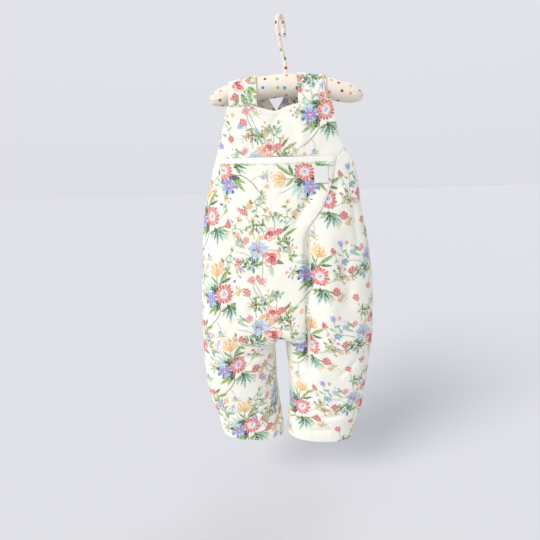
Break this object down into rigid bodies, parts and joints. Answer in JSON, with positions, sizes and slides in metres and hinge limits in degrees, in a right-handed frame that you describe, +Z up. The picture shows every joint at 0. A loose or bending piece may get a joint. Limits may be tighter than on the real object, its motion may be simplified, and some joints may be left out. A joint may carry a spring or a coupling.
{
  "type": "child's dungarees on a padded clothes hanger",
  "caption": "Floral child's dungarees with a pouch pocket and rounded legs, hanging hollow by crossed straps from a padded spotted hanger.",
  "frame": {"origin": "the point inside the hanger's hook that rests on the rail, where the whole thing is held up", "axes": "+Z up, the front faces -Y, +X to the right as seen from the front; the hanger's bar runs along X"},
  "size_m": [0.365, 0.1454, 0.8756],
  "materials": {
    "floral_cotton": "matte printed furnishing cotton, ivory ground with flowers",
    "label_tape": "plain satin label tape",
    "spotted_cotton": "matte cream cotton with small coloured spots"
  },
  "bodies": {
    "root": {"front_centre": "floral_cotton", "front_side_left": "floral_cotton", "front_side_right": "floral_cotton", "back_left": "floral_cotton", "back_right": "floral_cotton", "pouch": "floral_cotton", "strap_left": "floral_cotton", "strap_right": "floral_cotton", "label": "label_tape", "hanger_pad": "spotted_cotton", "hanger_hook": "spotted_cotton"}
  },
  "joints": []
}
